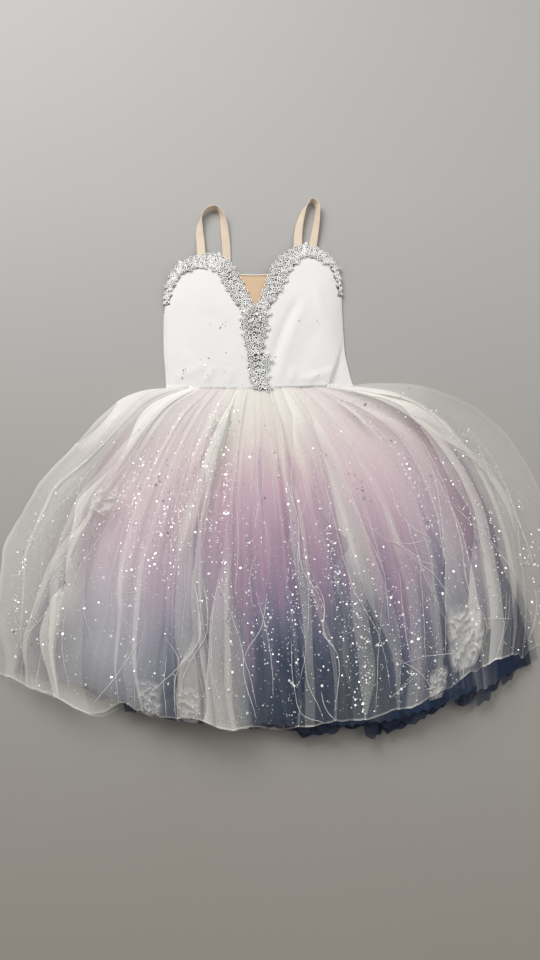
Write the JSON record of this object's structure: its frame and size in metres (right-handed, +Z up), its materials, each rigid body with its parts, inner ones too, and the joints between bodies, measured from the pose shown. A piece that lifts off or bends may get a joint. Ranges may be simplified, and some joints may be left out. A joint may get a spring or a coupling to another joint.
{
  "type": "ballet dress",
  "caption": "Child's ballet dress laid flat on its back: stretch bodice with a sweetheart neck, lace edging and loop straps, and a gathered tulle skirt in nested layers.",
  "frame": {"origin": "on the floor under the middle of the laid dress", "axes": "+Z up from the floor, +Y from the hem towards the straps, +X to the right of a viewer at the hem"},
  "size_m": [0.7265, 0.8004, 0.0585],
  "materials": {
    "bodice_cloth": "matt white stretch knit",
    "insert_mesh": "fine skin-coloured mesh",
    "lace": "silver corded lace with sequins",
    "elastic": "woven skin-coloured elastic",
    "overlay_tulle": "sheer glitter tulle with sequins",
    "dyed_tulle": "tulle dyed from white through pink to slate blue",
    "under_tulle": "dark navy tulle"
  },
  "bodies": {
    "root": {"bodice_front": "bodice_cloth", "bodice_back": "bodice_cloth", "neck_insert": "insert_mesh", "lace_left": "lace", "lace_right": "lace", "lace_centre": "lace", "strap_left": "elastic", "strap_right": "elastic", "skirt_overlay": "overlay_tulle", "skirt_dyed": "dyed_tulle", "skirt_underlayer": "under_tulle"}
  },
  "joints": []
}
